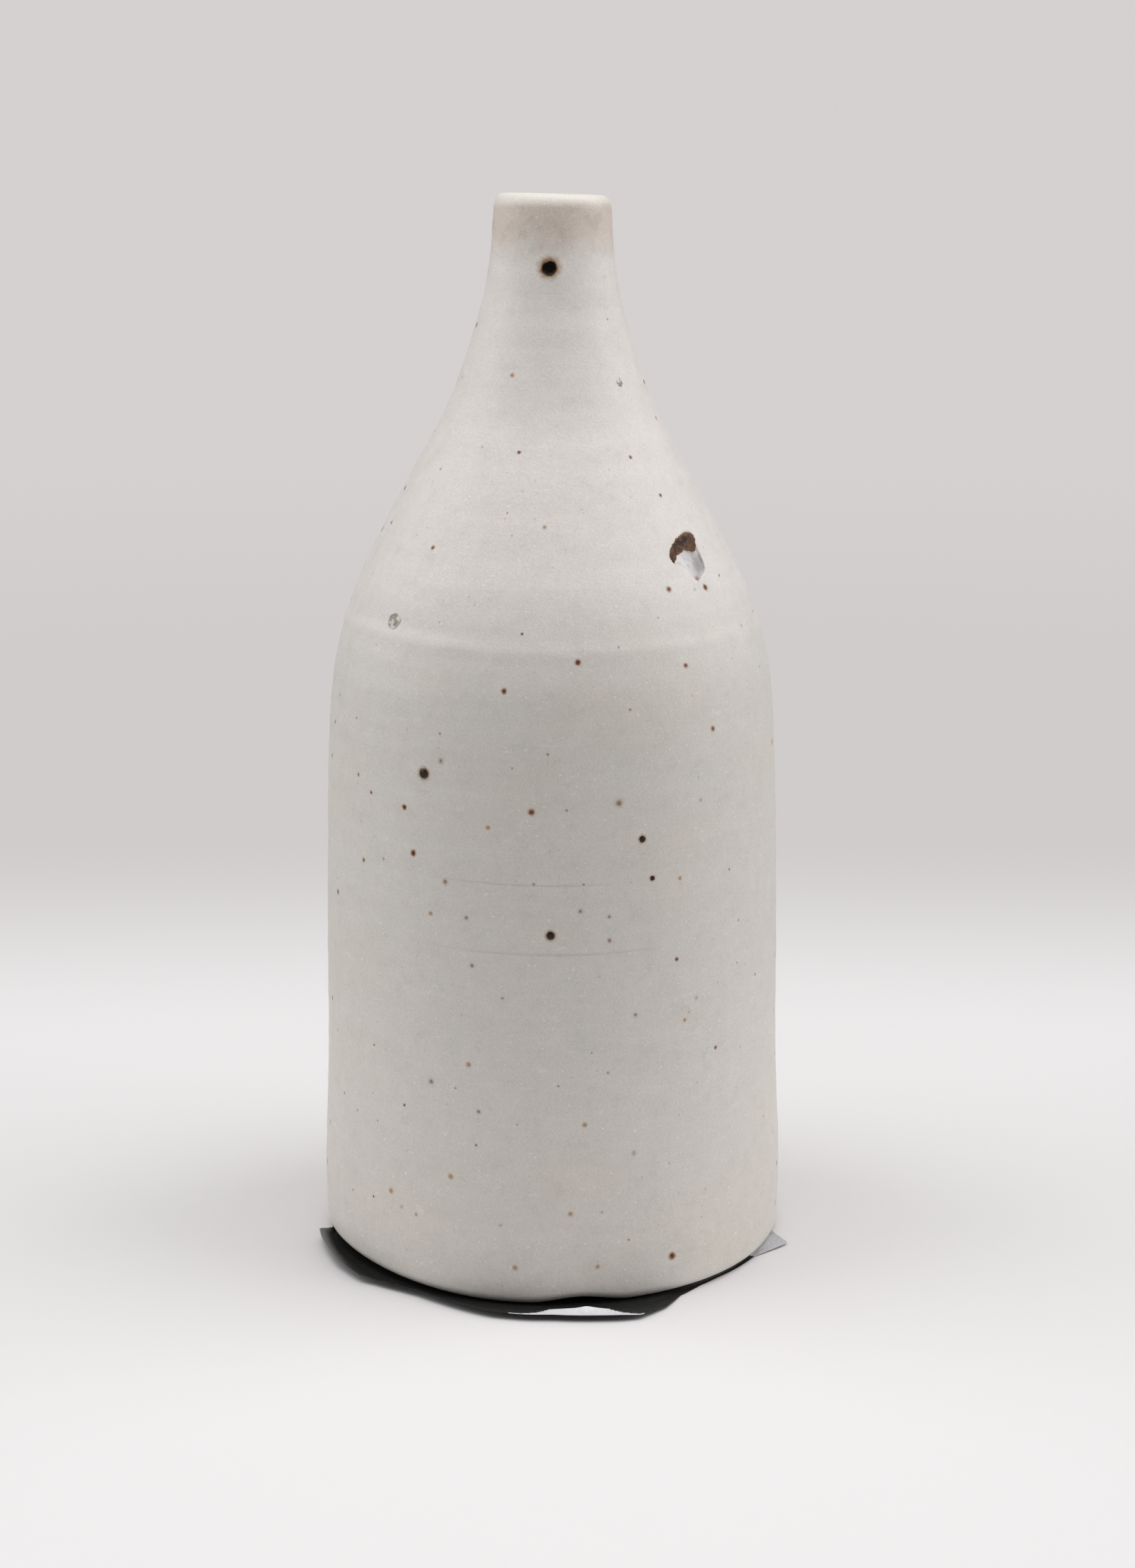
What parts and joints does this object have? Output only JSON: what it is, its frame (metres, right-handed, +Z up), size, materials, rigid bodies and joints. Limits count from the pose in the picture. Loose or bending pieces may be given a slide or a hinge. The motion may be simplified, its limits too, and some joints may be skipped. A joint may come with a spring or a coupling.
{
  "type": "bud vase",
  "caption": "Bottle-shaped bud vase in speckled white glazed ceramic: straight body, sloping shoulder and narrow neck with an open round mouth for one stem, on a thin foot pad.",
  "frame": {"origin": "centre of the flat underside of the foot pad, the face the vase stands on", "axes": "+Z up along the pot's axis to the mouth, front (the side with the bead on the neck) towards -Y, +X to the right seen from the front"},
  "size_m": [0.0726, 0.0759, 0.1605],
  "materials": {
    "clay": "bare fired stoneware, matt, pale buff with fine grog",
    "outer_glaze": "satin-matt white glaze, slightly warm, with iron specks, pale grog grains and faint throwing lines",
    "liner_glaze": "the same white glaze, a little glossier inside",
    "iron": "melted iron nodule, black-brown and glossy",
    "stone": "rough dark brown stone burnt through the glaze",
    "milk_glaze": "milky blue-white pool of glaze, smooth and glossy",
    "grit": "grey-green grit, rough",
    "pad": "thin smooth dark sheet, pale underneath"
  },
  "bodies": {
    "root": {"foot_pad": "pad", "clay_body": "clay", "outer_glaze": "outer_glaze", "liner_glaze": "liner_glaze", "shoulder_stone": "stone", "stone_glaze_pool": "milk_glaze", "neck_iron_bead": "iron", "left_iron_bead": "iron", "front_iron_bead": "iron", "right_iron_bead": "iron", "lower_right_iron_bead": "iron", "neck_grit": "grit", "shoulder_grit": "grit"}
  },
  "joints": []
}
